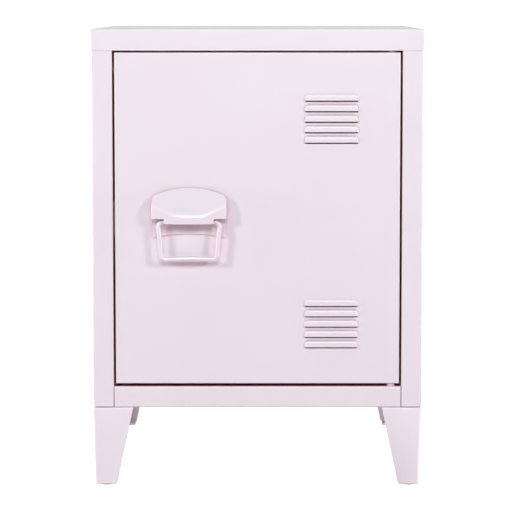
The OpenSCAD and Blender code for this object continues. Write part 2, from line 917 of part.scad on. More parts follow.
// A rod of radius r with flat ends, swept along a path in the XZ plane
module swept_rod(path, r) {
    sides = 12;
    n = len(path);
    points = [for (i = [0:n - 1])
        let (
            d0 = unit(path[max(i, 1)] - path[max(i, 1) - 1]),
            d1 = unit(path[min(i, n - 2) + 1] - path[min(i, n - 2)]),
            out = left_of(unit(d0 + d1)) / cos(turn_angle(d0, d1) / 2)
        )
        for (k = [0:sides - 1])
            let (a = (k + 0.5) * 360 / sides)
            [path[i][0] + r * cos(a) * out[0], r * sin(a), path[i][1] + r * cos(a) * out[1]]
    ];
    walls = [for (i = [0:n - 2], k = [0:sides - 1])
        let (j = (k + 1) % sides)
        [i * sides + k, i * sides + j, (i + 1) * sides + j, (i + 1) * sides + k]
    ];
    ends = [[for (k = [sides - 1:-1:0]) k], [for (k = [0:sides - 1]) (n - 1) * sides + k]];
    polyhedron(points, concat(walls, ends));
}

// A ring of rod: a true round journal through the clips, and a swept loop below it
module bail() {
    top = bail_w / 2 - bail_r;
    bottom = top - bail_taper;
    z = -bail_drop + bail_r;
    color(paint) translate([bail_x, bail_y, bail_z]) {
        swept_rod(
            rounded_path(
                [
                    [-journal_x, 0], [-top, 0], [-bottom, z], [0, z + grip_bow], [bottom, z], [top, 0], [journal_x, 0]
                ],
                [6.5, 5, 60, 5, 6.5]
            ),
            bail_r + 0.12
        );
        rod_x([-journal_x - 0.5, 0, 0], 2 * journal_x + 1, bail_r);
    }
}

top_cap();
header_rail();
left_side_panel();
right_side_panel();
back_panel();
bottom_panel();
shelf();
shelf_brackets();
front_left_leg();
front_right_leg();
rear_left_leg();
rear_right_leg();
foot_pads();
leg_screws();
leg_nuts();
cap_screws();
cap_nuts();
back_screws();
upper_pivot_bush();
lower_pivot_bush();
catch_housing();
catch_magnet();
catch_screws();
door_shell();
door_stiffener();
upper_pivot_pin();
lower_pivot_pin();
strike_plate();
door_bumpers();
handle_plate();
handle_hood();
handle_screws();
bail_clips();
bail();
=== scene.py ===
"""One-door locker cabinet: painted sheet steel on four tapered legs.

Everything is in metres in the cabinet's own frame: the floor is at z = 0, the front faces -Y and
+X is to the right.
"""

import math
from contextlib import contextmanager

import bmesh
import bpy
from mathutils import Matrix, Vector


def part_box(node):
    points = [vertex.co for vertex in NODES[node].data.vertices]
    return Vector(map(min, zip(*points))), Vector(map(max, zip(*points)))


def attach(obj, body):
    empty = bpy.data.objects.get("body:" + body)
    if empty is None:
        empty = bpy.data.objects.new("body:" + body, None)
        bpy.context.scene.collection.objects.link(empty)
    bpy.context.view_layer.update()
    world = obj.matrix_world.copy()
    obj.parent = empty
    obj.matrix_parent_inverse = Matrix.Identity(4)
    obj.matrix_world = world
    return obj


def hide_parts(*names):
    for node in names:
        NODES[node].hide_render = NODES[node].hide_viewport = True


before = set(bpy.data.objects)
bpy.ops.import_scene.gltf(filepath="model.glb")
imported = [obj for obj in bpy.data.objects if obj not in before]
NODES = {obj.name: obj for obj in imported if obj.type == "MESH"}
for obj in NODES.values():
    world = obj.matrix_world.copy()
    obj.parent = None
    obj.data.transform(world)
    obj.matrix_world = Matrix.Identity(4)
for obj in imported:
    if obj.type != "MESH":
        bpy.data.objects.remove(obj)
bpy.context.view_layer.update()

MM = 0.001
TINY = 0.02 * MM
DOUBLE = 0.002 * MM

# Sizes that the folded sheet shares
SHEET = 0.8 * MM
FOLD_R = 2.0 * MM
PAINT_EDGE = 0.16 * MM

# Where the main faces are
BODY_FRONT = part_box("left_side_panel")[0].y
DOOR_LOW, DOOR_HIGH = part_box("door_shell")
BAIL_LOW, BAIL_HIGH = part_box("bail")
HOOD_LOW, HOOD_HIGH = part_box("handle_hood")

# The handle's own centre: middle of the bail's journal
HOOD_RISE = 40 * MM
HANDLE_AT = Vector(
    (
        (HOOD_LOW.x + HOOD_HIGH.x) / 2,
        (BAIL_LOW.y + BAIL_HIGH.y) / 2,
        HOOD_HIGH.z - HOOD_RISE,
    )
)
FACE_Y = BODY_FRONT - HANDLE_AT.y


# ---- Working with pieces ----


def only(piece):
    """Selects one piece and nothing else."""
    bpy.ops.object.select_all(action="DESELECT")
    piece.select_set(True)
    bpy.context.view_layer.objects.active = piece


def deselect():
    """Selects nothing."""
    bpy.ops.object.select_all(action="DESELECT")


@contextmanager
def editing(piece):
    """Edit mode on one piece, and back to object mode after it."""
    only(piece)
    bpy.ops.object.mode_set(mode="EDIT")
    yield
    bpy.ops.object.mode_set(mode="OBJECT")


def pick_faces(piece, test):
    """In edit mode, selects the faces whose middle and normal pass the test."""
    bpy.ops.mesh.select_mode(type="FACE")
    bpy.ops.mesh.select_all(action="DESELECT")
    mesh = bmesh.from_edit_mesh(piece.data)
    mesh.normal_update()
    for face in mesh.faces:
        face.select_set(bool(test(face.calc_center_median(), face.normal)))
    bmesh.update_edit_mesh(piece.data)


def pick_edges(piece, test):
    """In edit mode, selects the edges whose two ends pass the test."""
    bpy.ops.mesh.select_mode(type="EDGE")
    bpy.ops.mesh.select_all(action="DESELECT")
    mesh = bmesh.from_edit_mesh(piece.data)
    for edge in mesh.edges:
        if test(edge.verts[0].co, edge.verts[1].co):
            edge.select_set(True)
    bmesh.update_edit_mesh(piece.data)


def near(a, b):
    """Whether two places along an axis are the same."""
    return abs(a - b) < TINY


def modify(piece, kind, **settings):
    """Adds a modifier and applies it."""
    only(piece)
    modifier = piece.modifiers.new(kind.title(), kind)
    for name, value in settings.items():
        setattr(modifier, name, value)
    bpy.ops.object.modifier_apply(modifier=modifier.name)


def name_piece(piece, name):
    """Gives a piece and its mesh one name."""
    piece.name = name
    piece.data.name = name
    return piece


def block(name, low, high):
    """A cube primitive from corner to corner."""
    low, high = Vector(low), Vector(high)
    deselect()
    bpy.ops.mesh.primitive_cube_add(size=1, location=(low + high) / 2, scale=high - low)
    piece = bpy.context.object
    bpy.ops.object.transform_apply(location=True, rotation=True, scale=True)
    return name_piece(piece, name)


def round_edges(offset, segments):
    """In edit mode, rounds the selected edges."""
    bpy.ops.mesh.bevel(offset=offset, segments=segments, affect="EDGES", clamp_overlap=True)


def thicken(piece, thickness):
    """Gives a shell its wall, inwards from its outside faces."""
    modify(
        piece,
        "SOLIDIFY",
        thickness=thickness,
        offset=-1,
        use_even_offset=True,
        use_quality_normals=True,
    )


def soften(piece, radius, angle=50, segments=2):
    """Rounds every sharp edge by a paint film's radius."""
    modify(
        piece,
        "BEVEL",
        width=radius,
        segments=segments,
        limit_method="ANGLE",
        angle_limit=math.radians(angle),
        use_clamp_overlap=True,
        harden_normals=False,
    )


def finish_shape(piece, angle=32):
    """Merges doubles, shades smooth by angle and puts the piece's origin at the frame's."""
    with editing(piece):
        bpy.ops.mesh.select_all(action="SELECT")
        bpy.ops.mesh.remove_doubles(threshold=DOUBLE)
    only(piece)
    bpy.ops.object.transform_apply(location=True, rotation=True, scale=True)
    bpy.ops.object.shade_smooth_by_angle(angle=math.radians(angle))
    modify(piece, "WEIGHTED_NORMAL", keep_sharp=True)


def face_outwards(piece):
    """Merges doubles and turns every face of a closed piece outwards."""
    with editing(piece):
        bpy.ops.mesh.select_all(action="SELECT")
        bpy.ops.mesh.remove_doubles(threshold=DOUBLE)
        bpy.ops.mesh.normals_make_consistent(inside=False)


def combine(piece, cutter, operation):
    """Adds or cuts with another solid, which is used up."""
    modify(piece, "BOOLEAN", object=cutter, operation=operation, solver="EXACT")
    bpy.data.objects.remove(cutter)


def joined(pieces):
    """Makes one piece of several."""
    deselect()
    for piece in pieces:
        piece.select_set(True)
    bpy.context.view_layer.objects.active = pieces[0]
    bpy.ops.object.join()
    return pieces[0]


def mirrored_copy(piece, name, x=False, y_mid=None):
    """A copy with its own mesh, turned over in X or about a plane of constant Y."""
    only(piece)
    bpy.ops.object.duplicate(linked=False)
    copy = name_piece(bpy.context.object, name)
    matrix = Matrix.Identity(4)
    if x:
        matrix = Matrix.Scale(-1, 4, (1, 0, 0)) @ matrix
    if y_mid is not None:
        flip = Matrix.Scale(-1, 4, (0, 1, 0))
        matrix = Matrix.Translation((0, 2 * y_mid, 0)) @ flip @ matrix
    copy.matrix_world = matrix
    bpy.ops.object.transform_apply(location=True, rotation=True, scale=True)
    if x != (y_mid is not None):
        with editing(copy):
            bpy.ops.mesh.select_all(action="SELECT")
            bpy.ops.mesh.flip_normals()
    return copy


def put(piece, body, slot, *nodes):
    """Rides a finished piece on its body and hides the CAD parts it stands for."""
    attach(piece, body)
    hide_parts(*nodes)


# ---- Outlines drawn from a single vertex ----


def start_outline(name, at, origin=(0, 0, 0)):
    """Opens a piece in edit mode with one selected vertex at a place relative to its origin."""
    deselect()
    bpy.ops.mesh.primitive_plane_add(size=MM, location=origin)
    piece = name_piece(bpy.context.object, name)
    bpy.ops.object.mode_set(mode="EDIT")
    bpy.ops.mesh.select_mode(type="VERT")
    bpy.ops.mesh.select_all(action="SELECT")
    bpy.ops.mesh.merge(type="CENTER")
    bpy.ops.transform.translate(value=at)
    return piece


def line_by(*delta):
    """Extrudes what is selected by a step in X, Y and Z."""
    bpy.ops.mesh.extrude_region_move(TRANSFORM_OT_translate={"value": delta})


def arc_by(centre, degrees, steps, axis=(0, 1, 0)):
    """Turns what is selected about a centre given in world coordinates."""
    bpy.ops.mesh.spin(
        steps=steps, angle=-math.radians(degrees), center=centre, axis=axis, use_auto_merge=False
    )


def close_outline():
    """Merges the outline's ends and fills it with one face."""
    bpy.ops.mesh.select_all(action="SELECT")
    bpy.ops.mesh.remove_doubles(threshold=0.01 * MM)
    bpy.ops.mesh.edge_face_add()
    bpy.ops.mesh.select_mode(type="FACE")


# ---- Finishes ----


# Painted shade: within this reach of other surfaces the coat's colour is darkened towards this
# maroon
PAINTED_SHADE_REACH = 20 * MM
PAINTED_SHADE_TONE = (0.66, 0.16, 0.17, 1)
WHITE = (1, 1, 1, 1)


def linear(red, green, blue):
    """Screen values from 0 to 255 as linear light."""
    def one(value):
        value /= 255
        return value / 12.92 if value <= 0.04045 else ((value + 0.055) / 1.055) ** 2.4

    return one(red), one(green), one(blue), 1


def blank_material(name):
    """A new material with its node tree and shader."""
    material = bpy.data.materials.new(name)
    material.use_nodes = True
    tree = material.node_tree
    shader = tree.nodes["Principled BSDF"]
    return material, tree, shader


def noise(tree, scale, detail=2.0, roughness=0.5):
    """Noise on Object coordinates."""
    coordinates = tree.nodes.new("ShaderNodeTexCoord")
    texture = tree.nodes.new("ShaderNodeTexNoise")
    texture.inputs["Scale"].default_value = scale
    texture.inputs["Detail"].default_value = detail
    texture.inputs["Roughness"].default_value = roughness
    tree.links.new(coordinates.outputs["Object"], texture.inputs["Vector"])
    return texture


def ramp(tree, source, low, high, dark, light):
    """Two colours spread over part of a texture's range."""
    node = tree.nodes.new("ShaderNodeValToRGB")
    node.color_ramp.elements[0].position = low
    node.color_ramp.elements[1].position = high
    node.color_ramp.elements[0].color = dark
    node.color_ramp.elements[1].color = light
    tree.links.new(source, node.inputs["Fac"])
    return node


def spread(tree, source, low, high):
    """A texture's value as a number between two bounds."""
    node = tree.nodes.new("ShaderNodeMapRange")
    node.inputs["From Min"].default_value = 0.3
    node.inputs["From Max"].default_value = 0.7
    node.inputs["To Min"].default_value = low
    node.inputs["To Max"].default_value = high
    tree.links.new(source, node.inputs["Value"])
    return node


def bump(tree, shader, height, strength, distance):
    """Raises the surface by a texture's value."""
    node = tree.nodes.new("ShaderNodeBump")
    node.inputs["Strength"].default_value = strength
    node.inputs["Distance"].default_value = distance
    tree.links.new(height, node.inputs["Height"])
    tree.links.new(node.outputs["Normal"], shader.inputs["Normal"])


def mixed(tree, first, second):
    """A mix node between two colours."""
    node = tree.nodes.new("ShaderNodeMix")
    node.data_type = "RGBA"
    node.inputs["A"].default_value = first
    node.inputs["B"].default_value = second
    return node


def painted_shade(tree):
    """Painted shade: 1 in the open, falling to 0 where other surfaces close in, as light does in a
    gap.
    """
    node = tree.nodes.new("ShaderNodeAmbientOcclusion")
    node.samples = 6
    node.inputs["Distance"].default_value = PAINTED_SHADE_REACH
    return node.outputs["AO"]


def powder_coat(name, light, dark, peel, gloss, painted_shade_share=1, lacquer=0.3):
    """Satin powder coat: even, faintly clouded, with a fine orange peel and painted shade in a dark
    maroon where other surfaces close in.
    """
    material, tree, shader = blank_material(name)
    clouds = noise(tree, 9, 3)
    colour = ramp(tree, clouds.outputs["Fac"], 0.32, 0.68, dark, light)
    # Painted shade from ambient occlusion, multiplied into the coat's colour
    shade_ramp = ramp(tree, painted_shade(tree), 0.12, 0.72, PAINTED_SHADE_TONE, WHITE)
    blend = mixed(tree, light, PAINTED_SHADE_TONE)
    blend.blend_type = "MULTIPLY"
    blend.inputs["Factor"].default_value = painted_shade_share
    tree.links.new(colour.outputs["Color"], blend.inputs["A"])
    tree.links.new(shade_ramp.outputs["Color"], blend.inputs["B"])
    tree.links.new(blend.outputs["Result"], shader.inputs["Base Color"])
    satin = noise(tree, 260, 2)
    rough = spread(tree, satin.outputs["Fac"], gloss - 0.03, gloss + 0.03)
    tree.links.new(rough.outputs["Result"], shader.inputs["Roughness"])
    skin = noise(tree, 620, 2, 0.55)
    bump(tree, shader, skin.outputs["Fac"], peel, 0.05 * MM)
    shader.inputs["Coat Weight"].default_value = 0.8
    shader.inputs["Coat Roughness"].default_value = lacquer
    return material


def plated_steel(name, light, dark, rough_low, rough_high):
    """Zinc-plated steel with a faint mottle and fine scratches."""
    material, tree, shader = blank_material(name)
    mottle = noise(tree, 420, 4, 0.6)
    colour = ramp(tree, mottle.outputs["Fac"], 0.35, 0.65, dark, light)
    tree.links.new(colour.outputs["Color"], shader.inputs["Base Color"])
    rough = spread(tree, mottle.outputs["Fac"], rough_low, rough_high)
    tree.links.new(rough.outputs["Result"], shader.inputs["Roughness"])
    scratches = noise(tree, 2400, 3, 0.7)
    bump(tree, shader, scratches.outputs["Fac"], 0.12, 0.03 * MM)
    shader.inputs["Metallic"].default_value = 1
    return material


def moulded(name, light, dark, rough_low, rough_high, grain):
    """Moulded nylon, rubber or pressed ferrite: fine grain and a little cloudiness."""
    material, tree, shader = blank_material(name)
    clouds = noise(tree, 150, 3)
    colour = ramp(tree, clouds.outputs["Fac"], 0.35, 0.65, dark, light)
    tree.links.new(colour.outputs["Color"], shader.inputs["Base Color"])
    rough = spread(tree, clouds.outputs["Fac"], rough_low, rough_high)
    tree.links.new(rough.outputs["Result"], shader.inputs["Roughness"])
    texture = noise(tree, grain, 3, 0.6)
    bump(tree, shader, texture.outputs["Fac"], 0.15, 0.05 * MM)
    return material


def make_finishes():
    """Every finish on the cabinet, by name."""
    return {
        "painted_steel": powder_coat(
            "lilac_powder_coat",
            light=linear(229, 222, 230),
            dark=linear(227, 219, 227),
            peel=0.10,
            gloss=0.40,
        ),
        # The legs: the same coat painted lighter, a painted brightening that stands in for light,
        # and with no painted shade
        "legs_coat_painted_lighter": powder_coat(
            "lilac_leg_coat_painted_lighter",
            light=linear(233, 226, 234),
            dark=linear(231, 223, 231),
            peel=0.10,
            gloss=0.40,
            painted_shade_share=0,
        ),
        "painted_handle": powder_coat(
            "lilac_handle_coat",
            light=linear(230, 221, 230),
            dark=linear(228, 218, 228),
            peel=0.06,
            gloss=0.34,
            lacquer=0.14,
        ),
        "zinc_steel": plated_steel(
            "zinc_plate",
            light=linear(206, 206, 208),
            dark=linear(176, 178, 182),
            rough_low=0.28,
            rough_high=0.42,
        ),
        "nylon": moulded(
            "greyed_nylon",
            light=linear(214, 200, 205),
            dark=linear(204, 188, 194),
            rough_low=0.42,
            rough_high=0.55,
            grain=1800,
        ),
        "magnet": moulded(
            "pressed_ferrite",
            light=linear(66, 64, 66),
            dark=linear(48, 47, 50),
            rough_low=0.5,
            rough_high=0.7,
            grain=2600,
        ),
        "rubber": moulded(
            "soft_rubber",
            light=linear(58, 56, 58),
            dark=linear(46, 44, 46),
            rough_low=0.6,
            rough_high=0.75,
            grain=2200,
        ),
    }


def paint(piece, material):
    """Gives a piece its only material."""
    piece.data.materials.clear()
    piece.data.materials.append(material)


# ---- The studio ----

CAMERA_LENS = 149.2
CAMERA_SHIFT = (-0.016, -0.1222)
CAMERA_AT = (0.010, BODY_FRONT - 2.559, 0.584)
CAMERA_TILT = 5.09

ROOM_LIGHT = 0.06
ROOM_SHINE = 0.9
ROOM_BRIGHT = 1.2
ROOM_TINT = (1.0, 0.66, 0.69, 1)
LAMP_TINT = (0.95, 1.0, 1.0)
FLOOR_R = 14
FLOOR_DARK = (0.52, 0.42, 0.43, 1)
FLOOR_PALE = (0.54, 0.44, 0.45, 1)
FLOOR_LIGHT = 0.26
FLOOR_TINT = (1.0, 0.80, 0.82, 1)

# Name, place, the point it is aimed at, width and height, watts
FRONT_AIM = (0, -0.2, 0.32)
LAMPS = (
    ("left_softbox", (-1.98, -2.13, 1.45), FRONT_AIM, (0.4, 0.4), 25),
    ("right_softbox", (1.86, -2.13, 1.45), FRONT_AIM, (0.4, 0.4), 25),
    ("front_softbox", (0, -3.4, 1.75), FRONT_AIM, (0.9, 0.7), 41),
    ("overhead_softbox", (0, -0.3, 2.6), FRONT_AIM, (1.8, 1.4), 6),
    ("left_rim", (-2.0, -0.3, 0.3), (0, -0.3, 0.3), (1.2, 0.4), 14),
    ("right_rim", (2.0, -0.3, 0.3), (0, -0.3, 0.3), (1.2, 0.4), 14),
    ("rear_softbox", (0, 2.6, 0.3), (0, 0, 0.3), (1.6, 0.4), 26),
)


def make_camera():
    """Looks at the front from a little above the top, far enough back to keep it nearly flat."""
    data = bpy.data.cameras.new("front_camera")
    camera = bpy.data.objects.new("front_camera", data)
    bpy.context.scene.collection.objects.link(camera)
    data.sensor_width = 36
    data.lens = CAMERA_LENS
    data.shift_x, data.shift_y = CAMERA_SHIFT
    data.clip_start = 0.1
    data.clip_end = 60
    camera.location = CAMERA_AT
    camera.rotation_euler = (math.radians(90 - CAMERA_TILT), 0, 0)
    bpy.context.scene.camera = camera


def make_floor(material):
    """A round floor at the foot of the legs."""
    deselect()
    bpy.ops.mesh.primitive_circle_add(
        vertices=96, radius=FLOOR_R, fill_type="NGON", location=(0, 0, 0)
    )
    floor = name_piece(bpy.context.object, "studio_floor")
    paint(floor, material)


def floor_material():
    """A matt pale floor that glows a little and looks white."""
    material, tree, shader = blank_material("white_floor")
    mottle = noise(tree, 3, 2)
    colour = ramp(tree, mottle.outputs["Fac"], 0.3, 0.7, FLOOR_DARK, FLOOR_PALE)
    tree.links.new(colour.outputs["Color"], shader.inputs["Base Color"])
    shader.inputs["Roughness"].default_value = 0.9
    shader.inputs["Specular IOR Level"].default_value = 0.0
    path = tree.nodes.new("ShaderNodeLightPath")
    tint = mixed(tree, FLOOR_TINT, WHITE)
    tree.links.new(path.outputs["Is Camera Ray"], tint.inputs["Factor"])
    tree.links.new(tint.outputs["Result"], shader.inputs["Emission Color"])
    glow = step_between(tree, path.outputs["Is Camera Ray"], FLOOR_LIGHT, 1.0)
    tree.links.new(glow.outputs["Result"], shader.inputs["Emission Strength"])
    return material


def soft_light(name, at, aim, size, power):
    """A rectangular lamp turned towards a point."""
    data = bpy.data.lights.new(name, "AREA")
    data.shape = "RECTANGLE"
    data.size, data.size_y = size
    data.energy = power
    data.color = LAMP_TINT
    light = bpy.data.objects.new(name, data)
    bpy.context.scene.collection.objects.link(light)
    light.location = at
    light.rotation_euler = (Vector(at) - Vector(aim)).to_track_quat("Z", "Y").to_euler()


def step_between(tree, switch, off, on):
    """One strength where a ray is of a kind and another where it isn't."""
    node = tree.nodes.new("ShaderNodeMapRange")
    node.inputs["To Min"].default_value = off
    node.inputs["To Max"].default_value = on
    tree.links.new(switch, node.inputs["Value"])
    return node


def make_lights():
    """A warm white room with soft boxes all round, overhead and behind the camera."""
    world = bpy.data.worlds.new("white_room")
    bpy.context.scene.world = world
    world.use_nodes = True
    tree = world.node_tree
    background = tree.nodes["Background"]
    path = tree.nodes.new("ShaderNodeLightPath")
    shine = step_between(tree, path.outputs["Is Glossy Ray"], ROOM_LIGHT, ROOM_SHINE)
    strength = step_between(tree, path.outputs["Is Camera Ray"], 1, ROOM_BRIGHT)
    tree.links.new(shine.outputs["Result"], strength.inputs["To Min"])
    tree.links.new(strength.outputs["Result"], background.inputs["Strength"])
    tint = mixed(tree, WHITE, ROOM_TINT)
    tree.links.new(path.outputs["Is Diffuse Ray"], tint.inputs["Factor"])
    tree.links.new(tint.outputs["Result"], background.inputs["Color"])
    for lamp in LAMPS:
        soft_light(*lamp)


# ---- Top cap ----


def make_top_cap(paint_finish):
    """A shallow tray, folded down all round, with its corners closed and ground."""
    low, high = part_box("top_cap")
    cap = block("cap_tray", low, high)
    with editing(cap):
        pick_faces(cap, lambda middle, normal: normal.z < -0.9)
        bpy.ops.mesh.delete(type="FACE")
        pick_edges(cap, lambda a, b: near(a.z, high.z) and near(b.z, high.z) or not near(a.z, b.z))
        round_edges(FOLD_R, 6)
    thicken(cap, SHEET)
    soften(cap, PAINT_EDGE)
    finish_shape(cap)
    paint(cap, paint_finish)
    put(cap, "cabinet", "painted_steel", "top_cap")


# ---- Door ----

LOUVRE_W = 65 * MM
LOUVRE_H = 8 * MM
LOUVRE_RISE = 3.6 * MM
LOUVRE_PITCH = 12.6 * MM
LOUVRE_COUNT = 5
LOUVRE_INSET = 82.8 * MM
LOUVRE_TOP = 49.7 * MM
LOUVRE_BOTTOM = 45.1 * MM
LOUVRE_END_R = 5.0 * MM
LOUVRE_BROW_R = 3.1 * MM
BROW_WALL_SHARE = 0.8
SLIT_W = 1.7 * MM
SLIT_RISE = 0.6 * MM
SLIT_FRONT = -0.3 * MM
DOOR_LIP = 14 * MM


def louvre_places():
    """Lower edge of each louvre, from the lowest up."""
    span = (LOUVRE_COUNT - 1) * LOUVRE_PITCH
    for first in (DOOR_LOW.z + LOUVRE_BOTTOM, DOOR_HIGH.z - LOUVRE_TOP - LOUVRE_H - span):
        for count in range(LOUVRE_COUNT):
            yield Vector((DOOR_HIGH.x - LOUVRE_INSET, BODY_FRONT, first + count * LOUVRE_PITCH))


def pressed_louvre(wall):
    """A pressed louvre about its slit's middle: its outside, or its hollow where wall isn't 0."""
    half = LOUVRE_W / 2 - wall
    top = LOUVRE_H - wall
    front = wall - LOUVRE_RISE
    back = SHEET / 2 if wall == 0 else SHEET + MM
    bottom = 0 if wall == 0 else -TINY
    form = block("louvre", (-half, front, bottom), (half, back, top))
    with editing(form):
        pick_edges(form, lambda a, b: near(a.z, top) and near(b.z, top) and not near(a.y, b.y))
        round_edges(LOUVRE_END_R - wall, 6)
        pick_edges(
            form,
            lambda a, b: near(a.y, front) and near(b.y, front) and a.z + b.z > 2 * bottom + TINY,
        )
        round_edges(LOUVRE_BROW_R - wall * BROW_WALL_SHARE, 5)
    return form


def copies_at_louvres(form):
    """One solid that holds a copy of the form at every louvre."""
    pieces = []
    for place in louvre_places():
        only(form)
        bpy.ops.object.duplicate(linked=False)
        copy = bpy.context.object
        copy.location = place
        bpy.ops.object.transform_apply(location=True, rotation=True, scale=True)
        pieces.append(copy)
    bpy.data.objects.remove(form)
    return joined(pieces)


def make_door(paint_finish):
    """A folded pan with a lip round its back and two groups of pressed louvres."""
    low = Vector((DOOR_LOW.x, BODY_FRONT, DOOR_LOW.z))
    high = DOOR_HIGH
    door = block("door_pan", low, high)
    with editing(door):
        pick_faces(door, lambda middle, normal: normal.y > 0.9)
        bpy.ops.mesh.inset(thickness=DOOR_LIP, depth=0)
        bpy.ops.mesh.delete(type="FACE")
        pick_edges(door, lambda a, b: near(a.y, low.y) and near(b.y, low.y))
        round_edges(FOLD_R, 6)
    thicken(door, SHEET)
    combine(door, copies_at_louvres(pressed_louvre(0)), "UNION")
    combine(door, copies_at_louvres(pressed_louvre(SHEET)), "DIFFERENCE")
    half = LOUVRE_W / 2 - SHEET
    slit = block("slit", (-half, SLIT_FRONT, -SLIT_W), (half, SHEET + MM, SLIT_RISE))
    combine(door, copies_at_louvres(slit), "DIFFERENCE")
    finish_shape(door)
    paint(door, paint_finish)
    put(door, "door", "painted_steel", "door_shell")


# ---- Handle ----

HOOD_X = 45 * MM
HOOD_DROP = 10.2 * MM
SHOULDER_R = 7 * MM
HOOD_SIDE_BOTTOM = 3.6 * MM
LIP_BOTTOM = -2.2 * MM
LIP_X = 30 * MM
REACH = 26 * MM
RIDGE_Z = 7 * MM
FLAT_X = 18 * MM
SIDE_SETBACK = 8.5 * MM
BROW = 2.6 * MM
HOOD_WALL = 2 * MM
RIDGE_R = 18 * MM
FOLD_LIFT = 1.8 * MM
FOLD_START = 0.3
HOOD_EDGE = 1.0 * MM
PLATE_T = 2 * MM
PLATE_BOTTOM = -20.8 * MM
PLATE_TOP = 24 * MM
PLATE_ARCH = 4.8 * MM
PLATE_INSET = 0.7 * MM
PLATE_PLAY = 0.15 * MM
PLATE_EDGE = 0.5 * MM


def cut_flat(point, normal):
    """Slices off all that lies in front of a flat and closes the cut."""
    bpy.ops.mesh.select_all(action="SELECT")
    bpy.ops.mesh.bisect(plane_co=point, plane_no=normal, use_fill=True, clear_outer=True)


def cut_fold(point, first, second, radius, start, steps=5):
    """Rounds the ridge between two flats with narrow flats along one arc.

    The arc ends on the second flat and begins that share of the turn away from the first.
    """
    turn = first.angle(second)
    begin = start * turn
    along = (second - first * math.cos(turn)).normalized()
    lift = (math.cos(begin) - math.cos(turn)) / math.tan(turn) - math.sin(turn)
    centre = point - first * radius * math.cos(begin) + along * radius * lift
    for step in range(steps):
        angle = begin + (turn - begin) * (step + 0.5) / steps
        normal = first * math.cos(angle) + along * math.sin(angle)
        cut_flat(centre + normal * radius, normal)


def make_hood(paint_finish):
    """A pressed hood: domed top, sloping face, ridge set back to each side and an upright lip."""
    dome_r = (HOOD_X**2 + HOOD_DROP**2) / (2 * HOOD_DROP)
    dome_z = HOOD_RISE - dome_r
    shoulder_x = HOOD_X - SHOULDER_R
    shoulder_z = dome_z + math.sqrt((dome_r - SHOULDER_R) ** 2 - shoulder_x**2)
    turn = math.degrees(math.atan2(shoulder_z - dome_z, shoulder_x))
    at = HANDLE_AT
    hood = start_outline("handle_hood_shell", (LIP_X, FACE_Y, LIP_BOTTOM), at)
    line_by(0, 0, HOOD_SIDE_BOTTOM - LIP_BOTTOM)
    line_by(HOOD_X - LIP_X, 0, 0)
    line_by(0, 0, shoulder_z - HOOD_SIDE_BOTTOM)
    arc_by(at + Vector((shoulder_x, 0, shoulder_z)), -turn, 7)
    arc_by(at + Vector((0, 0, dome_z)), -(180 - 2 * turn), 30)
    arc_by(at + Vector((-shoulder_x, 0, shoulder_z)), -turn, 7)
    line_by(0, 0, HOOD_SIDE_BOTTOM - shoulder_z)
    line_by(HOOD_X - LIP_X, 0, 0)
    line_by(0, 0, LIP_BOTTOM - HOOD_SIDE_BOTTOM)
    close_outline()
    line_by(0, -REACH, 0)
    bpy.ops.mesh.select_all(action="SELECT")
    bpy.ops.mesh.normals_make_consistent(inside=False)
    front = FACE_Y - REACH
    ahead = Vector((0, -1, 0))
    slope = Vector((0, -(HOOD_RISE - RIDGE_Z), REACH - BROW)).normalized()
    ridge = at + Vector((0, front, RIDGE_Z + FOLD_LIFT))
    cut_flat(ridge, slope)
    for side in (-1, 1):
        set_back = Vector((side * SIDE_SETBACK, FLAT_X - HOOD_X, 0)).normalized()
        corner = ridge + Vector((side * FLAT_X, 0, 0))
        cut_flat(corner, set_back)
        cut_fold(corner, set_back, slope, RIDGE_R, FOLD_START)
    cut_fold(ridge, ahead, slope, RIDGE_R, FOLD_START)
    pick_faces(hood, lambda middle, normal: near(middle.y, FACE_Y))
    bpy.ops.mesh.delete(type="FACE")
    pick_faces(
        hood,
        lambda middle, normal: normal.z < -0.9
        or middle.z < HOOD_SIDE_BOTTOM and abs(normal.x) > 0.9 and near(abs(middle.x), LIP_X),
    )
    bpy.ops.mesh.delete(type="FACE")
    bpy.ops.object.mode_set(mode="OBJECT")
    thicken(hood, HOOD_WALL)
    soften(hood, HOOD_EDGE, 40, 4)
    finish_shape(hood, 40)
    paint(hood, paint_finish)
    put(hood, "door", "painted_handle", "handle_hood")


def make_plate(paint_finish):
    """The plate behind the hood, with an arched lower edge."""
    at = HANDLE_AT
    half = HOOD_X - PLATE_INSET
    inner = HOOD_X - HOOD_WALL - PLATE_PLAY
    step = HOOD_SIDE_BOTTOM - PLATE_PLAY
    radius = (half**2 + PLATE_ARCH**2) / (2 * PLATE_ARCH)
    turn = 2 * math.degrees(math.asin(half / radius))
    plate = start_outline("handle_back_plate", (-half, FACE_Y, PLATE_BOTTOM), at)
    arc_by(at + Vector((0, 0, PLATE_BOTTOM + PLATE_ARCH - radius)), turn, 24)
    line_by(0, 0, step - PLATE_BOTTOM)
    line_by(inner - half, 0, 0)
    line_by(0, 0, PLATE_TOP - step)
    line_by(-2 * inner, 0, 0)
    line_by(0, 0, step - PLATE_TOP)
    line_by(inner - half, 0, 0)
    close_outline()
    line_by(0, -PLATE_T, 0)
    bpy.ops.object.mode_set(mode="OBJECT")
    face_outwards(plate)
    soften(plate, PLATE_EDGE, 40, 3)
    finish_shape(plate)
    paint(plate, paint_finish)
    put(plate, "door", "painted_handle", "handle_plate")


BAIL_R = 2.9 * MM
BAIL_W = 80.5 * MM
BAIL_DROP = 48 * MM
BAIL_TAPER = 4.2 * MM
GRIP_BOW = 0.9 * MM
BAIL_CORNER_R = 6.5 * MM
GRIP_CORNER_R = 5 * MM
GRIP_BOW_R = 60 * MM


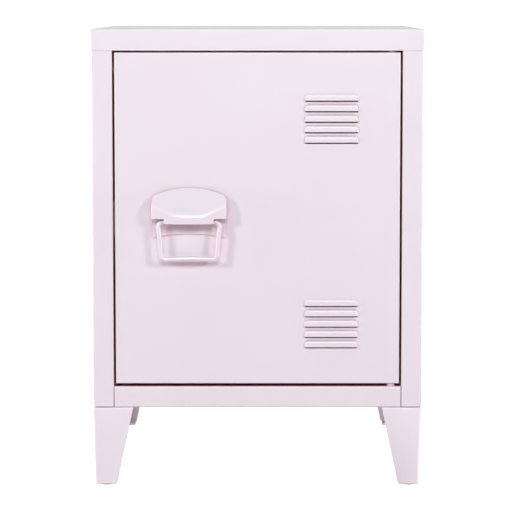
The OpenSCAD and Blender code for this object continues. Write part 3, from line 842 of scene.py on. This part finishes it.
def make_bail(paint_finish):
    """A ring of round rod: half of it is bent bend by bend, then mirrored."""
    top = Vector((-(BAIL_W / 2 - BAIL_R), 0, 0))
    corner = Vector((top.x + BAIL_TAPER, 0, BAIL_R - BAIL_DROP))
    bow = math.atan2(GRIP_BOW, -corner.x)
    middle = Vector((-GRIP_BOW_R * math.tan(bow / 2), 0, corner.z + GRIP_BOW))
    headings = [
        Vector((-1, 0, 0)),
        (corner - top).normalized(),
        (middle - corner).normalized(),
        Vector((1, 0, 0)),
    ]
    deselect()
    bpy.ops.mesh.primitive_circle_add(
        vertices=20,
        radius=BAIL_R,
        fill_type="NOTHING",
        location=HANDLE_AT,
        rotation=(0, math.pi / 2, 0),
    )
    bail = name_piece(bpy.context.object, "bail_ring")
    bpy.ops.object.transform_apply(location=False, rotation=True, scale=True)
    bpy.ops.object.mode_set(mode="EDIT")
    bpy.ops.mesh.select_mode(type="EDGE")
    bpy.ops.mesh.select_all(action="SELECT")
    at = Vector((0, 0, 0))
    stops = [(top, BAIL_CORNER_R), (corner, GRIP_CORNER_R), (middle, GRIP_BOW_R)]
    for index, (stop, radius) in enumerate(stops):
        before, after = headings[index], headings[index + 1]
        turn = before.angle(after)
        start = stop - before * radius * math.tan(turn / 2)
        line_by(*(start - at))
        side = after - after.project(before)
        centre = start + side.normalized() * radius
        sign = 1 if before.cross(after).y > 0 else -1
        arc_by(HANDLE_AT + centre, sign * math.degrees(turn), 8 if index < 2 else 3)
        at = stop + after * radius * math.tan(turn / 2)
    bpy.ops.object.mode_set(mode="OBJECT")
    modify(bail, "MIRROR", use_axis=(True, False, False), use_clip=True, merge_threshold=0.05 * MM)
    face_outwards(bail)
    finish_shape(bail, 60)
    paint(bail, paint_finish)
    put(bail, "bail", "painted_handle", "bail")


# ---- Legs ----

LEG_T = 1.5 * MM
LEG_FOOT = 26 * MM
LEG_LEAN = 2 * MM
LEG_FOLD_R = 3 * MM
FOOT_FOLD_R = 1.8 * MM
LEG_CORNER = 3 * MM
SHORTEST_WALL = 20 * MM


def make_legs(paint_finish):
    """Four legs of folded sheet: two tapering walls and a flange at the top and at the foot."""
    low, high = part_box("front_left_leg")
    leg = block("leg_front_left", low, high)
    share = LEG_FOOT / (high.x - low.x)
    with editing(leg):
        pick_faces(leg, lambda middle, normal: normal.z < -0.9)
        bpy.ops.transform.resize(value=(share, share, 1), center_override=low)
        bpy.ops.transform.translate(value=(LEG_LEAN, LEG_LEAN, 0))
        pick_edges(leg, lambda a, b: near(a.z, low.z) and near(b.z, low.z))
        round_edges(FOOT_FOLD_R, 4)
        outer_x = low.x + LEG_CORNER
        outer_y = low.y + LEG_CORNER

        def flange_fold(a, b):
            on_top = near(a.z, high.z) and near(b.z, high.z)
            return on_top and (a.x + b.x < 2 * outer_x or a.y + b.y < 2 * outer_y)

        def wall_fold(a, b):
            outside = max(a.x, b.x) < outer_x and max(a.y, b.y) < outer_y
            return outside and abs(a.z - b.z) > SHORTEST_WALL

        pick_edges(leg, lambda a, b: flange_fold(a, b) or wall_fold(a, b))
        round_edges(LEG_FOLD_R, 6)
        pick_faces(leg, lambda middle, normal: normal.x > 0.85 or normal.y > 0.85)
        bpy.ops.mesh.delete(type="FACE")
    thicken(leg, LEG_T)
    soften(leg, PAINT_EDGE)
    finish_shape(leg)
    paint(leg, paint_finish)
    y_mid = (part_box("front_left_leg")[0].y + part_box("rear_left_leg")[1].y) / 2
    legs = [
        (leg, "front_left_leg"),
        (mirrored_copy(leg, "leg_front_right", x=True), "front_right_leg"),
        (mirrored_copy(leg, "leg_rear_left", y_mid=y_mid), "rear_left_leg"),
        (mirrored_copy(leg, "leg_rear_right", x=True, y_mid=y_mid), "rear_right_leg"),
    ]
    for piece, node in legs:
        put(piece, "cabinet", "painted_steel", node)


# ---- The whole cabinet ----

# What each part is made of, where it isn't the painted sheet
SLOTS = {
    "handle_plate": "painted_handle",
    "handle_hood": "painted_handle",
    "bail": "painted_handle",
    "upper_pivot_bush": "nylon",
    "lower_pivot_bush": "nylon",
    "catch_housing": "nylon",
    "bail_clips": "nylon",
    "catch_magnet": "magnet",
    "foot_pads": "rubber",
    "door_bumpers": "rubber",
    "leg_screws": "zinc_steel",
    "leg_nuts": "zinc_steel",
    "cap_screws": "zinc_steel",
    "cap_nuts": "zinc_steel",
    "back_screws": "zinc_steel",
    "catch_screws": "zinc_steel",
    "handle_screws": "zinc_steel",
    "upper_pivot_pin": "zinc_steel",
    "lower_pivot_pin": "zinc_steel",
    "strike_plate": "zinc_steel",
}


def main():
    """Builds the studio, finishes the CAD's own parts and makes the new pieces."""
    bpy.context.scene.view_settings.view_transform = "Standard"
    finishes = make_finishes()
    make_camera()
    make_lights()
    make_floor(floor_material())
    for name, node in NODES.items():
        paint(node, finishes[SLOTS.get(name, "painted_steel")])
    make_top_cap(finishes["painted_steel"])
    make_door(finishes["painted_steel"])
    make_hood(finishes["painted_handle"])
    make_plate(finishes["painted_handle"])
    make_bail(finishes["painted_handle"])
    # The legs take the copy of the coat that is painted lighter
    make_legs(finishes["legs_coat_painted_lighter"])


main()
